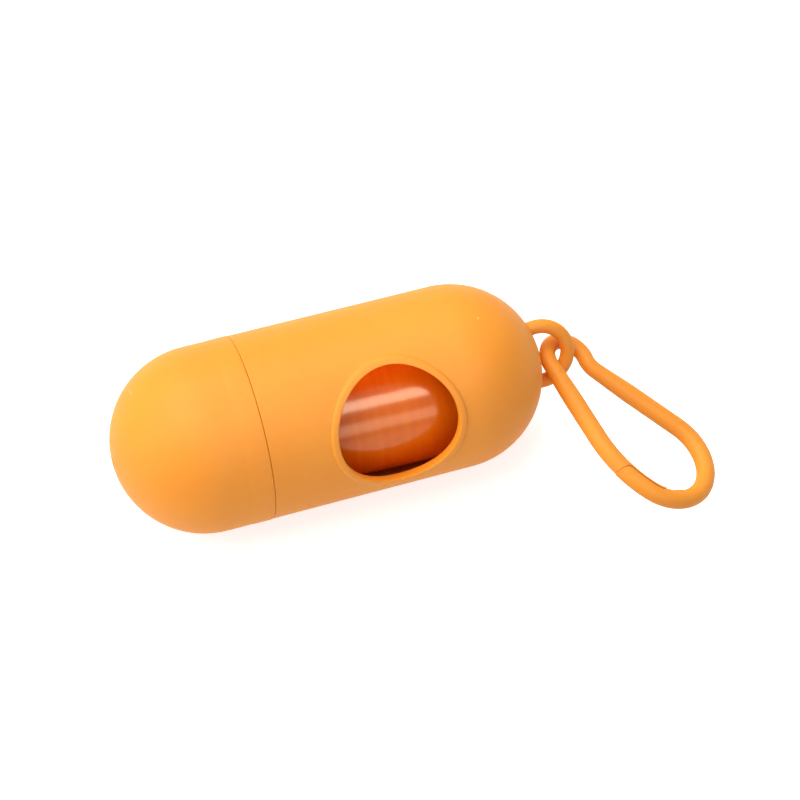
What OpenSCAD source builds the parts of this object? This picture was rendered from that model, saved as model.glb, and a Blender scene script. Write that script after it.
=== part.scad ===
// Pocket dispenser for rolls of dog waste bags.
// A moulded capsule lies on its side along X: a housing with a round window and a
// moulded eye, a screw cap, a wire-like hook clip with a springy gate, and a roll of
// bags on a card core. The floor is z = 0 and the origin is under the middle of the
// capsule, with the cap towards -X and the window towards -Y.

/* [Capsule] */
// Length of the closed capsule from pole to pole
capsule_len = 89.4; // [84:0.2:112]
// Outer diameter of the screw cap
cap_d = 38; // [37:0.2:46]
// Length of the cap from its pole to the seam
cap_len = 28.4; // [25:0.2:34]
// How far the skin of the housing lies inside the skin of the cap at the seam
seam_step = 0.1; // [0:0.02:0.3]
// How much narrower the housing is where its dome begins
body_draft = 0.4; // [0:0.1:1]
// Wall of the housing, and of the cap round the neck
wall = 1.7; // [1.4:0.1:2.2]
// Wall of the cap's dome, beyond the neck
cap_dome_wall = 2; // [1.6:0.1:2.4]
// Clearance where the cap meets the shoulder of the housing
seam_gap = 0.08; // [0.05:0.01:0.2]

/* [Screw neck] */
// Length of the neck that the cap screws over
neck_len = 9; // [6:0.5:12]
// Wall of the neck
neck_wall = 1.4; // [1.2:0.1:2]
// Radial room between the neck and the bore of the cap, where the threads run
thread_room = 0.7; // [0.5:0.05:1]
// Room between the free edge of the neck and the step inside the cap
neck_end_room = 0.8; // [0.4:0.1:2]
// Chamfer on the free edge of the neck
neck_chamfer = 0.5; // [0.2:0.1:0.7]

/* [Window] */
// Diameter of the window that a bag is pulled through
window_d = 25; // [18:0.5:27]
// Distance from the seam to the middle of the window
window_from_seam = 26.6; // [22:0.2:30]
// Angle of the window's middle above the horizon
window_rise = 30; // [0:1:60]
// Width of the raised lip around the window
lip_w = 1.4; // [0.8:0.1:2]
// Height of the lip above the housing
lip_h = 0.45; // [0.2:0.05:0.8]

/* [Eye] */
// Diameter of the wire of the eye on the end of the housing
eye_wire_d = 2.9; // [2.4:0.1:3.6]
// Room in the eye beside the clip's wire
eye_room = 1.25; // [1.1:0.05:4]
// How far the middle of the eye stands out from the pole
eye_out = 0.3; // [0:0.05:1]

/* [Clip] */
// Diameter of the clip's wire round its small eye
clip_thin_d = 3.3; // [2.8:0.1:4]
// Diameter of the clip's wire everywhere else
clip_thick_d = 3.8; // [3:0.1:4.6]
// Length over which the wire thickens on its way from the small eye
clip_taper = 8; // [5:0.5:12]
// Room in the clip's small eye round the wire of the housing's eye
hook_room = 1.6; // [1.4:0.05:3]
// Radius of the clip's wide end, to the middle of the wire
wide_end_r = 10.1; // [8:0.1:12]
// Distance from the small eye to the middle of the wide end
clip_reach = 27.4; // [24:0.2:34]
// How far the wide end lies off the small eye towards the gate
wide_end_drop = 4.1; // [2:0.1:5]
// Slope of the straight spine
spine_slope = 8; // [4:0.5:12]
// Slope of the straight part of the gate
gate_slope = 25.5; // [22:0.5:28]
// Radius of the hollow where the small eye flows into the spine
neck_fillet_r = 4.5; // [3:0.1:6]
// Radius of the gate's bow before the wide end
gate_bow_r = 24; // [20:0.5:30]
// Where the clip hangs on the housing's eye, measured round it from its outermost point
hang_turn = 31.5; // [20:0.5:40]
// Direction in the clip's plane in which its small eye hangs off the housing's eye
hang_slant = 72.2; // [60:0.1:90]
// Play left between the small eye and the housing's eye where the clip hangs
hang_play = 0.8; // [0.7:0.05:1.2]
// Sideways lean of the clip, about its own length
clip_lean = -17; // [-30:1:0]
// Direction in which the clip points, seen from above
clip_turn = -51.5; // [-70:0.5:-30]

/* [Gate] */
// Length of the solid root between the small eye and the flexing gate
gate_root_len = 2.6; // [2:0.1:4]
// How far the nose of the wide end reaches back past the end of the gate's bow
nose_reach = 6; // [4:0.1:9]
// Rounding of the nose's inner corner
nose_round = 1.5; // [0.5:0.1:2]
// How far the tongue of the gate reaches on past the end of the gate's bow
tongue_reach = 1.4; // [1:0.1:5]
// How far the lap's split lies inside the middle of the wire
lap_split = 0.45; // [0.2:0.05:0.9]
// Clearance between the tongue and the nose
lap_gap = 0.16; // [0.1:0.02:0.4]
// Angle by which the gate at rest stands inside the line of the wire
gate_rest = 0.5; // [0:0.1:1]

/* [Bag roll] */
// How much smaller the diameter of a full roll is than the bore of the neck it enters by
roll_slack = 3.4; // [2.4:0.1:8]
// How far the roll can slide from the end of the housing towards the cap
roll_play = 3.7; // [1:0.1:14]
// Rounding of the roll's soft edges
roll_round = 1.2; // [0.4:0.1:2]
// Outer diameter of the card core
core_d = 14; // [11:0.5:18]
// Wall of the card core
core_wall = 1.1; // [0.8:0.1:1.6]
// How far the core stands out of each side of the film
core_out = 0.6; // [0:0.1:1.5]
// Clearance between the film and the core
core_fit = 0.05; // [0.02:0.01:0.1]
// Clearance under the roll where it lies in the housing
rest_fit = 0.25; // [0.15:0.05:0.4]
// Clearance between the end of the roll and the end of the housing
end_fit = 1; // [0.4:0.1:2]

/* [Hidden] */
$fn = 96;
shell_colour = "#FDA93B";
clip_colour = "#F99A2C";
film_colour = "#E8762A";
card_colour = "#B99468";
far_out = 400;
// The nose's rounding stands this much past the faces that it joins, so as to cross them
nose_kink = 0.01;

// Places along X, from the cap's pole at -capsule_len / 2
cap_r = cap_d / 2;
axis_z = cap_r;
cap_pole_x = -capsule_len / 2;
eye_pole_x = capsule_len / 2;
seam_x = cap_pole_x + cap_len;

// Radii of the shells
bore_r = cap_r - wall;
cap_dome_bore_r = cap_r - cap_dome_wall;
cap_dome_x = cap_pole_x + cap_r;
body_r = cap_r - seam_step;
dome_r = body_r - body_draft / 2;
dome_x = eye_pole_x - dome_r;
neck_r = bore_r - thread_room;
neck_bore_r = neck_r - neck_wall;
neck_end_x = seam_x - neck_len;
cavity_r = body_r - wall;
cavity_end_r = dome_r - wall;
// The cavity widens behind the neck with a slope of 45 degrees
cavity_x = seam_x + cavity_r - neck_bore_r;

// Window and eye share one plane of the mould, whose normal leans up from -Y
window_x = seam_x + window_from_seam;
window_r = window_d / 2;
eye_x = eye_pole_x + eye_out;
eye_r = eye_wire_d / 2 + clip_thin_d + eye_room;

// Straight edges and tangent points of the clip, in its own plane, with the small eye
// at [0, 0], the length along +u and the gate on the -v side
thin_r = clip_thin_d / 2;
thick_r = clip_thick_d / 2;
small_eye_r = thin_r + eye_wire_d / 2 + hook_room;
wide_c = [clip_reach, -wide_end_drop];
spine_dir = [cos(spine_slope), sin(spine_slope)];
spine_out = [-sin(spine_slope), cos(spine_slope)];
gate_dir = [cos(gate_slope), -sin(gate_slope)];
gate_out = [-sin(gate_slope), -cos(gate_slope)];

// Distance along dir from p to the circle round c with radius r, on its near side
function before_circle(p, dir, c, r) = let(w = p - c, b = w * dir) -b - sqrt(b * b - w * w + r * r);
// The same on its far side
function past_circle(p, dir, c, r) = let(w = p - c, b = w * dir) -b + sqrt(b * b - w * w + r * r);
function angle_of(p) = atan2(p[1], p[0]);
function unit(p) = p / norm(p);
// Where the circles round p and q with radii rp and rq cross, right of the way from p to q
function crossing(p, rp, q, rq) =
    let(d = norm(q - p), way = unit(q - p), a = (rp * rp - rq * rq + d * d) / (2 * d))
    p + a * way + sqrt(rp * rp - a * a) * [way[1], -way[0]];

spine_end = wide_c + wide_end_r * spine_out;
fillet_line = spine_end + neck_fillet_r * spine_out;
fillet_c = fillet_line
    + past_circle(fillet_line, spine_dir, [0, 0], small_eye_r + neck_fillet_r) * spine_dir;
spine_start = fillet_c - neck_fillet_r * spine_out;
gate_start = small_eye_r * gate_out;
bow_line = gate_start - gate_bow_r * gate_out;
bow_c = bow_line
    + before_circle(bow_line, gate_dir, wide_c, gate_bow_r - wide_end_r) * gate_dir;
bow_start = bow_c + gate_bow_r * gate_out;
bow_end = bow_c + gate_bow_r * unit(wide_c - bow_c);
gate_root = gate_start + gate_root_len * gate_dir;
spine_thick = spine_start + clip_taper * spine_dir;
gate_thick = gate_start + clip_taper * gate_dir;

// The gate bends at the inner side of its root
root_r = thin_r + (thick_r - thin_r) * gate_root_len / clip_taper;
pivot = gate_root - root_r * gate_out;
nose_from_pivot = norm(bow_end - pivot) - nose_reach;
tongue_from_pivot = norm(bow_end - pivot) + tongue_reach;

// Middle of the rounding of the nose's inner corner
nose_round_c = crossing(
    pivot, nose_from_pivot + lap_gap + nose_round - nose_kink,
    bow_c, gate_bow_r - lap_split + lap_gap / 2 + nose_round - nose_kink
);

// The clip's small eye hangs on the lower part of the housing's eye
hang_x = eye_x + eye_r * cos(hang_turn);
hang_down = eye_r * sin(hang_turn);
hang_y = -hang_down * sin(window_rise);
hang_z = axis_z - hang_down * cos(window_rise);
hang_shift = (hook_room - hang_play) * [cos(hang_slant), sin(hang_slant)];

// Height of the lowest point of the clip's wide end when the clip pitches down by p
function clip_low(p) =
    let(fall = [-sin(p), cos(p) * sin(clip_lean)])
    hang_z + (wide_c + hang_shift) * fall - wide_end_r * norm(fall) - thick_r;
// Pitch at which the wide end rests on the floor, found by halving
function rest_pitch(low, high, steps) =
    let(mid = (low + high) / 2)
    steps == 0 ? mid
    : clip_low(mid) > 0 ? rest_pitch(mid, high, steps - 1)
    : rest_pitch(low, mid, steps - 1);
clip_pitch = rest_pitch(0, 60, 30);

// The roll lies on the inner edge of the neck and on the housing beyond it. Drops are how
// far its axis lies under the capsule's axis.
roll_r = neck_bore_r - roll_slack / 2;
core_r = core_d / 2;
film_bore_r = core_r + core_fit;
neck_drop = neck_bore_r - rest_fit - roll_r;
end_drop = cavity_end_r - rest_fit - roll_r;
roll_tilt = atan2(end_drop - neck_drop, dome_x - cavity_x);
roll_end_x = dome_x + sqrt(pow(cavity_end_r, 2) - pow(end_drop + roll_r, 2)) - end_fit;
roll_start_x = cap_dome_x - sqrt(pow(cap_dome_bore_r, 2) - pow(neck_drop + roll_r, 2))
    + roll_play;
roll_len = roll_end_x - roll_start_x;
roll_mid_x = roll_end_x - roll_len / 2;
roll_mid_drop = neck_drop + (roll_mid_x - cavity_x) * tan(roll_tilt);

// Turns a profile drawn as [radius, x] into a solid round the capsule's axis
module around_axis() {
    translate([0, 0, axis_z])
        rotate([0, 90, 0])
            rotate_extrude()
                children();
}

// Half outline of a shell that runs from x = open_x to a dome of radius round_r, whose
// middle is at x = dome_at
module shell_outline(open_x, open_r, dome_at, round_r) {
    polygon([[0, open_x], [open_r, open_x], [round_r, dome_at], [0, dome_at]]);
    translate([0, dome_at])
        intersection() {
            circle(round_r);
            square(round_r);
        }
}

// Lays a part drawn in the mould's plane, [x, distance from the axis], against the housing
module mould_plane() {
    translate([0, 0, axis_z])
        rotate([-90 - window_rise, 0, 0])
            children();
}

// A round bar through the middle of the window, from the axis outwards
module window_bar(r) {
    mould_plane()
        translate([window_x, 0, -far_out])
            cylinder(r = r, h = far_out);
}

// Housing, neck, lip and eye

module housing_outside() {
    around_axis() {
        shell_outline(seam_x, body_r, dome_x, dome_r);
        polygon([
            [0, neck_end_x],
            [neck_r - neck_chamfer, neck_end_x],
            [neck_r, neck_end_x + neck_chamfer],
            [neck_r, seam_x],
            [0, seam_x]
        ]);
    }
}

module housing_inside() {
    around_axis() {
        shell_outline(cavity_x, cavity_r, dome_x, cavity_end_r);
        polygon([
            [0, neck_end_x - 1],
            [neck_bore_r, neck_end_x - 1],
            [neck_bore_r, seam_x],
            [cavity_r, cavity_x],
            [0, cavity_x]
        ]);
    }
}

module window_lip() {
    intersection() {
        around_axis()
            shell_outline(seam_x, body_r + lip_h, dome_x, dome_r + lip_h);
        window_bar(window_r + lip_w);
    }
}

module housing() {
    color(shell_colour)
        difference() {
            union() {
                housing_outside();
                window_lip();
            }
            housing_inside();
            window_bar(window_r);
        }
}

// The eye is one moulding with the housing, and a solid of its own so that the space
// inside it stays open when things touch it
module end_eye() {
    reach = 112;
    color(shell_colour)
        difference() {
            mould_plane()
                translate([eye_x, 0, 0])
                    rotate_extrude(angle = 2 * reach, start = -reach)
                        translate([eye_r, 0])
                            circle(d = eye_wire_d);
            around_axis()
                shell_outline(seam_x, body_r, dome_x, dome_r);
        }
}

// Screw cap

// Drawn with its dome towards +X and then turned over. Inside, a step ends the bore
// where the neck ends.
module screw_cap() {
    rim_x = seam_gap - seam_x;
    step_x = neck_end_room - neck_end_x;
    color(shell_colour)
        mirror([1, 0, 0])
            difference() {
                around_axis()
                    shell_outline(rim_x, cap_r, -cap_dome_x, cap_r);
                around_axis()
                    shell_outline(rim_x - 1, cap_dome_bore_r, -cap_dome_x, cap_dome_bore_r);
                around_axis()
                    translate([0, rim_x - 1])
                        square([bore_r, step_x - rim_x + 1]);
            }
}

// Hook clip. Where two stretches of its wire meet, the second is a hair thinner and
// starts a little inside the first, so that the two are one solid.

joint_step = 0.02;
joint_sink = 0.15;

// Angle that the sunk end of a bar takes on an arc of radius bend_r
function sink_turn(bend_r) = joint_sink / bend_r * 180 / PI;

// Turns a profile drawn as [distance from c, height] round c, from angle a0 to a1
module around_point(c, a0, a1) {
    translate([c[0], c[1], 0])
        rotate_extrude(angle = a1 - a0, start = a0)
            children();
}

// Round bar of radius r along an arc round c
module bent_bar(c, bend_r, a0, a1, r) {
    around_point(c, a0, a1)
        translate([bend_r, 0])
            circle(r);
}

// Round bar from p0 to p1 whose radius goes from r0 to r1
module straight_bar(p0, p1, r0, r1) {
    translate([p0[0], p0[1], 0])
        rotate([0, 0, angle_of(p1 - p0)])
            rotate([0, 90, 0])
                cylinder(r1 = r0, r2 = r1, h = norm(p1 - p0));
}

// Everything on the inner side of the lap's split along an arc, moved outwards by shift
module inside_split(c, bend_r, a0, a1, shift) {
    depth = 3 * thick_r;
    around_point(c, a0, a1)
        translate([bend_r - lap_split + shift - depth, -depth / 2])
            square(depth);
}

// Everything within r of the gate's pivot
module near_pivot(r) {
    translate([pivot[0], pivot[1], -2 * thick_r])
        cylinder(r = r, h = 4 * thick_r);
}

// What is left between a rounding of radius r and the nose's inner corner, reaching a
// little past both faces
module nose_corner(r) {
    past = r + 0.5;
    grow = r - nose_round;
    corner = crossing(
        pivot, nose_from_pivot + lap_gap - grow,
        bow_c, gate_bow_r - lap_split + lap_gap / 2 - grow
    );
    translate([0, 0, -2 * thick_r])
        linear_extrude(4 * thick_r)
            difference() {
                polygon([
                    nose_round_c,
                    nose_round_c + past * unit(pivot - nose_round_c),
                    corner + 0.5 * unit(corner - nose_round_c),
                    nose_round_c + past * unit(bow_c - nose_round_c)
                ]);
                translate(nose_round_c)
                    circle(r);
            }
}

// Lays the clip's plane through the housing's eye, down to the floor
module hang_clip() {
    translate([hang_x, hang_y, hang_z])
        rotate([clip_lean, clip_pitch, clip_turn])
            translate([hang_shift[0], hang_shift[1], 0])
                children();
}

spine_end_a = angle_of(spine_out);
bow_end_a = angle_of(bow_end - wide_c);
gate_a = angle_of(gate_out);
fillet_end_a = angle_of(-spine_out);
// The lap is over before this angle of the wide end
lap_end_a = bow_end_a + 60;

module clip_small_eye() {
    bent_bar([0, 0], small_eye_r, angle_of(fillet_c), gate_a + 360, thin_r);
    turn = sink_turn(neck_fillet_r);
    bent_bar(fillet_c, neck_fillet_r, angle_of(-fillet_c) - turn, fillet_end_a + turn,
        thin_r - joint_step);
    straight_bar(gate_start - joint_sink * gate_dir, gate_root,
        thin_r - joint_step, root_r - joint_step);
}

module clip_spine() {
    straight_bar(spine_start, spine_thick + joint_sink * spine_dir,
        thin_r, thick_r - 2 * joint_step);
    straight_bar(spine_thick, spine_end + joint_sink * spine_dir,
        thick_r - joint_step, thick_r - joint_step);
}

// The bow and the wide end, round in section, as far as the nose
module clip_wide_end() {
    turn = sink_turn(gate_bow_r);
    bent_bar(wide_c, wide_end_r, bow_end_a, spine_end_a, thick_r);
    bent_bar(bow_c, gate_bow_r, gate_a, bow_end_a + turn, thick_r - joint_step);
}

module clip_frame() {
    half_gap = lap_gap / 2;
    color(clip_colour)
        hang_clip()
            union() {
                clip_small_eye();
                clip_spine();
                difference() {
                    clip_wide_end();
                    near_pivot(nose_from_pivot + lap_gap);
                    nose_corner(nose_round);
                    inside_split(bow_c, gate_bow_r, gate_a, bow_end_a, half_gap);
                    intersection() {
                        inside_split(wide_c, wide_end_r, bow_end_a - sink_turn(wide_end_r),
                            lap_end_a, half_gap - joint_step);
                        near_pivot(tongue_from_pivot + lap_gap);
                    }
                }
            }
}

// The gate's straight stretch, its bow and the tongue inside the nose
module closed_gate() {
    turn = sink_turn(wide_end_r);
    half_gap = lap_gap / 2;
    straight_bar(gate_root, gate_thick + joint_sink * gate_dir,
        root_r, thick_r - 2 * joint_step);
    straight_bar(gate_thick, bow_start + joint_sink * gate_dir,
        thick_r - joint_step, thick_r - joint_step);
    intersection() {
        bent_bar(bow_c, gate_bow_r, gate_a, bow_end_a, thick_r);
        union() {
            near_pivot(nose_from_pivot);
            nose_corner(nose_round + lap_gap);
            inside_split(bow_c, gate_bow_r, gate_a, bow_end_a, -half_gap);
        }
    }
    intersection() {
        bent_bar(wide_c, wide_end_r, bow_end_a - turn, lap_end_a, thick_r - joint_step);
        inside_split(wide_c, wide_end_r, bow_end_a - turn, lap_end_a, -half_gap);
        near_pivot(tongue_from_pivot);
    }
}

module clip_gate() {
    color(clip_colour)
        hang_clip()
            translate(pivot)
                rotate([0, 0, gate_rest])
                    translate(-pivot)
                        closed_gate();
}

// Bag roll on its core

// Turns a profile drawn as [radius, distance from the roll's middle] round the roll's axis
module around_roll() {
    translate([roll_mid_x, 0, axis_z - roll_mid_drop])
        rotate([0, 90 + roll_tilt, 0])
            rotate_extrude()
                children();
}

module bag_roll() {
    half = roll_len / 2;
    color(film_colour)
        around_roll() {
            translate([film_bore_r, -half])
                square([roll_r - roll_round - film_bore_r, roll_len]);
            translate([roll_r - roll_round, roll_round - half])
                square([roll_round, roll_len - 2 * roll_round]);
            for (side = [-1, 1])
                translate([roll_r - roll_round, side * (half - roll_round)])
                    circle(roll_round);
        }
}

module roll_core() {
    half = roll_len / 2 + core_out;
    color(card_colour)
        around_roll()
            translate([core_r - core_wall, -half])
                square([core_wall, 2 * half]);
}

housing();
end_eye();
screw_cap();
clip_frame();
clip_gate();
bag_roll();
roll_core();
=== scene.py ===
"""Looks of a pocket dispenser for rolls of dog waste bags.

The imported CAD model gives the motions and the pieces' places. This script models the
skin that the eye sees on top of it, to the same sizes. Lengths in the classes are
millimetres in the CAD frame.
"""

import logging
from dataclasses import dataclass
from enum import Enum
from math import asin, atan2, cos, degrees, pi, radians, sin, sqrt

import bmesh
import bpy
from mathutils import Euler, Matrix, Vector


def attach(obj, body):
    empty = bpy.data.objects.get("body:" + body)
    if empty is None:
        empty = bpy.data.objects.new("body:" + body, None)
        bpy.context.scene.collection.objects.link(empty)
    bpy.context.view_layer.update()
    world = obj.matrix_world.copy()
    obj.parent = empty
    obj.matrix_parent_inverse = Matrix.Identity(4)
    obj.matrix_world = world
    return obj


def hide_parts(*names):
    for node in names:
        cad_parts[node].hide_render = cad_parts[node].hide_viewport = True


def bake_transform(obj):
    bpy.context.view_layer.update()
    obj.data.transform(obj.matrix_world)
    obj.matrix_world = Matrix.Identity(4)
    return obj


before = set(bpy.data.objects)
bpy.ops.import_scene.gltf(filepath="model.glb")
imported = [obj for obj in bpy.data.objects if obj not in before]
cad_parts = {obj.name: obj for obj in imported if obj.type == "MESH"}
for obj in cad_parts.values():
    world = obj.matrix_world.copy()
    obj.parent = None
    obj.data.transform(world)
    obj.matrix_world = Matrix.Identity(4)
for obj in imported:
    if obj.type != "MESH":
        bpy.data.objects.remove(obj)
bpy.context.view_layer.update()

log = logging.getLogger("bag_dispenser")
MM = 0.001
FULL_TURN = 360.0
WELD = 0.002 * MM
WHITE = (1.0, 1.0, 1.0, 1.0)

Piece = bpy.types.Object
Material = bpy.types.Material
Owner = Material | bpy.types.World
Socket = bpy.types.NodeSocket
Pair = tuple[float, float]
Pairs = tuple[Pair, ...]
Triple = tuple[float, float, float]
Counts = tuple[int, ...]
Colour = tuple[float, float, float, float]

X_AXIS = Vector((1, 0, 0))
Y_AXIS = Vector((0, 1, 0))
Z_AXIS = Vector((0, 0, 1))


class Body(Enum):
    """CAD bodies that the pieces ride on."""

    CASE = "case"
    CAP = "cap"
    CLIP = "clip"
    GATE = "gate"
    ROLL = "roll"


class Slot(Enum):
    """Names of material slots that main lists beside the pieces; nothing gives them to
    the pieces.
    """

    SHELL = "shell_plastic"
    CLIP = "clip_plastic"
    FILM = "bag_film"


# ---- Hand tools


def point(x: float, y: float, z: float) -> Vector:
    """Returns a place given in millimetres as a vector in metres."""
    return Vector((x, y, z)) * MM


def turned(vector: Vector, axis: Vector, angle: float) -> Vector:
    """Returns a vector turned about an axis, in degrees by the right-hand rule."""
    return Matrix.Rotation(radians(angle), 3, axis) @ vector


def facing(way: Vector) -> Euler:
    """Returns the rotation that turns +Z to a direction."""
    return way.to_track_quat("Z", "Y").to_euler()


def deselect_all() -> None:
    """Leaves edit mode and selects nothing."""
    if bpy.context.mode != "OBJECT":
        bpy.ops.object.mode_set(mode="OBJECT")
    bpy.ops.object.select_all(action="DESELECT")


def take(obj: Piece) -> None:
    """Makes an object the only selected and the active one."""
    deselect_all()
    obj.select_set(True)
    bpy.context.view_layer.objects.active = obj


def edit_all() -> None:
    """Opens the active object in edit mode with everything selected."""
    bpy.ops.object.mode_set(mode="EDIT")
    bpy.ops.mesh.select_all(action="SELECT")


def leave_edit() -> None:
    """Goes back to object mode."""
    bpy.ops.object.mode_set(mode="OBJECT")


def apply_place() -> None:
    """Puts the place of the selected object into its mesh."""
    bpy.ops.object.transform_apply(location=True, rotation=True, scale=True)


def primitive(name: str, kind: str, **settings: object) -> Piece:
    """Adds a primitive by itself.

    Args:
        name: its name.
        kind: Blender's word for it, such as "plane".
        **settings: its sizes and its place.

    Returns:
        Its object.
    """
    deselect_all()
    getattr(bpy.ops.mesh, f"primitive_{kind}_add")(**settings)
    obj = bpy.context.object
    obj.name = obj.data.name = name
    return obj


def weld(obj: Piece) -> None:
    """Merges doubles, closes open ends and turns the faces outwards."""
    take(obj)
    edit_all()
    bpy.ops.mesh.remove_doubles(threshold=WELD)
    bpy.ops.mesh.fill_holes(sides=0)
    bpy.ops.mesh.normals_make_consistent(inside=False)
    leave_edit()


def select_rims(obj: Piece) -> None:
    """Opens an object in edit mode with its open ends selected."""
    take(obj)
    bpy.ops.object.mode_set(mode="EDIT")
    bpy.ops.mesh.select_mode(type="EDGE")
    bpy.ops.mesh.select_all(action="DESELECT")
    others = ("extend", "use_wire", "use_multi_face", "use_non_contiguous", "use_verts")
    bpy.ops.mesh.select_non_manifold(**dict.fromkeys(others, False))


def settle(obj: Piece, sharp_over: float = 35.0) -> None:
    """Puts a finished piece's place into its mesh and shades it smooth.

    Args:
        obj: the piece.
        sharp_over: edges that turn by more than this many degrees stay sharp.
    """
    take(obj)
    apply_place()
    bpy.ops.object.shade_smooth_by_angle(angle=radians(sharp_over))


def modify(obj: Piece, kind: str, settings: dict, helper: Piece | None = None) -> None:
    """Applies a modifier to an object.

    Args:
        obj: the object.
        kind: Blender's name of the modifier's type.
        settings: values of its properties.
        helper: an object that is only there for the modifier and goes afterwards.
    """
    take(obj)
    modifier = obj.modifiers.new(kind.lower(), kind)
    for key, value in settings.items():
        setattr(modifier, key, value)
    bpy.ops.object.modifier_apply(modifier=modifier.name)
    if helper:
        bpy.data.objects.remove(helper, do_unlink=True)


def cut_away(obj: Piece, cutter: Piece) -> None:
    """Takes the cutter's space out of an object and removes the cutter."""
    settings = {"operation": "DIFFERENCE", "solver": "EXACT", "object": cutter}
    modify(obj, "BOOLEAN", settings, cutter)


class Pen:
    """One vertex that is extruded along lines and spun round points: an outline."""

    def __init__(self, name: str, start: Vector, normal: Vector) -> None:
        """Puts the first vertex down.

        Args:
            name: name of the object that holds the outline.
            start: place of the first vertex.
            normal: normal of the outline's plane, which sets the sense of its arcs.
        """
        self.obj = primitive(name, "plane", size=MM, location=start)
        self.normal = normal
        self.tip = start.copy()
        edit_all()
        bpy.ops.mesh.merge(type="CENTER")

    def line(self, end: Vector, steps: int = 1) -> None:
        """Draws a straight line.

        Args:
            end: where it goes.
            steps: number of edges.
        """
        step = (end - self.tip) / steps
        for _ in range(steps):
            bpy.ops.mesh.extrude_vertices_move(TRANSFORM_OT_translate={"value": step})
        self.tip = end.copy()

    def arc(self, centre: Vector, angle: float, steps: int) -> None:
        """Draws an arc.

        Args:
            centre: middle of the arc.
            angle: sweep, counterclockwise about the plane's normal.
            steps: number of edges.
        """
        bpy.ops.mesh.spin(
            steps=steps, angle=-radians(angle), center=centre, axis=self.normal
        )
        self.tip = centre + turned(self.tip - centre, self.normal, angle)

    def finish(self) -> Piece:
        """Ends the drawing and returns its object."""
        leave_edit()
        return self.obj


def spin_outline(outline: Piece, centre: Vector, axis: Vector, steps: int) -> Piece:
    """Spins an outline through a full turn into a closed shell.

    Args:
        outline: the drawn outline.
        centre: a place on the axis.
        axis: the axis.
        steps: number of faces round it.

    Returns:
        The outline's object, now the shell.
    """
    take(outline)
    edit_all()
    bpy.ops.mesh.spin(steps=steps, angle=radians(FULL_TURN), center=centre, axis=axis)
    weld(outline)
    return outline


def pull_outline(outline: Piece, half: float, normal: Vector) -> Piece:
    """Fills a closed flat outline and pulls it into a slab as thick on either side.

    Args:
        outline: the drawn outline, whose last point lies on its first.
        half: half of the slab's thickness, in metres.
        normal: the plane's normal.

    Returns:
        The outline's object, now the slab.
    """
    take(outline)
    edit_all()
    bpy.ops.mesh.remove_doubles(threshold=WELD)
    bpy.ops.mesh.edge_face_add()
    bpy.ops.transform.translate(value=-half * normal)
    bpy.ops.mesh.extrude_region_move(
        TRANSFORM_OT_translate={"value": 2 * half * normal}
    )
    weld(outline)
    return outline


class Wire:
    """A ring of vertices swept along a path, as a round wire is bent."""

    def __init__(
        self, name: str, centre: Vector, way: Vector, radius: float, sides: int
    ) -> None:
        """Puts the first ring down.

        Args:
            name: the piece's name.
            centre: middle of the ring.
            way: direction in which the wire sets out.
            radius: radius of the wire, in metres.
            sides: vertices round it.
        """
        self.obj = primitive(
            name,
            "circle",
            vertices=sides,
            radius=radius,
            location=centre,
            rotation=facing(way),
        )
        self.centre = centre.copy()
        self.way = way.normalized()
        self.radius = radius
        edit_all()

    def ridge(self, side: Vector, height: float) -> None:
        """Gives the wire a fine parting line on two opposite sides.

        Args:
            side: direction of one of the sides, across the wire.
            height: how far the line stands out, in metres.
        """
        mesh = bmesh.from_edit_mesh(self.obj.data)
        place = self.obj.matrix_world
        for vertex in mesh.verts:
            across = (place @ vertex.co - self.centre).normalized()
            vertex.select = abs(across.dot(side)) > cos(radians(2))
        bmesh.update_edit_mesh(self.obj.data)
        factor = 1 + height / self.radius
        bpy.ops.transform.resize(value=(factor,) * 3, center_override=self.centre)
        bpy.ops.mesh.select_all(action="SELECT")

    def swell(self, radius: float) -> None:
        """Gives the last ring another radius, in metres."""
        factor = radius / self.radius
        bpy.ops.transform.resize(value=(factor,) * 3, center_override=self.centre)
        self.radius = radius

    def straight(self, length: float, radius: float, steps: int) -> None:
        """Goes straight on.

        Args:
            length: how far, in metres.
            radius: radius at the end.
            steps: number of rings.
        """
        start = self.radius
        step = self.way * (length / steps)
        for i in range(1, steps + 1):
            bpy.ops.mesh.extrude_region_move(TRANSFORM_OT_translate={"value": step})
            self.centre += step
            self.swell(start + (radius - start) * i / steps)

    def bend(self, pivot: Vector, axis: Vector, angle: float, steps: int) -> None:
        """Bends round a point.

        Args:
            pivot: middle of the bend.
            axis: axis of the bend.
            angle: how far in degrees, counterclockwise about the axis.
            steps: number of rings.
        """
        bpy.ops.mesh.spin(steps=steps, angle=-radians(angle), center=pivot, axis=axis)
        self.centre = pivot + turned(self.centre - pivot, axis, angle)
        self.way = turned(self.way, axis, angle)

    def finish(self) -> Piece:
        """Closes both ends and returns the wire's object."""
        weld(self.obj)
        return self.obj


# ---- Materials


def colour(hex_value: str) -> Colour:
    """Turns an sRGB hex value into linear light.

    Args:
        hex_value: such as "#F9A12E".

    Returns:
        Red, green, blue and alpha.
    """
    channels = []
    for start in (1, 3, 5):
        value = int(hex_value[start : start + 2], 16) / 255
        if value <= 0.04045:
            channels.append(value / 12.92)
        else:
            channels.append(((value + 0.055) / 1.055) ** 2.4)
    return (*channels, 1.0)


def per_metre(size_mm: float) -> float:
    """Returns the texture scale at which one cell is this many millimetres wide."""
    return 1 / (size_mm * MM)


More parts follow.
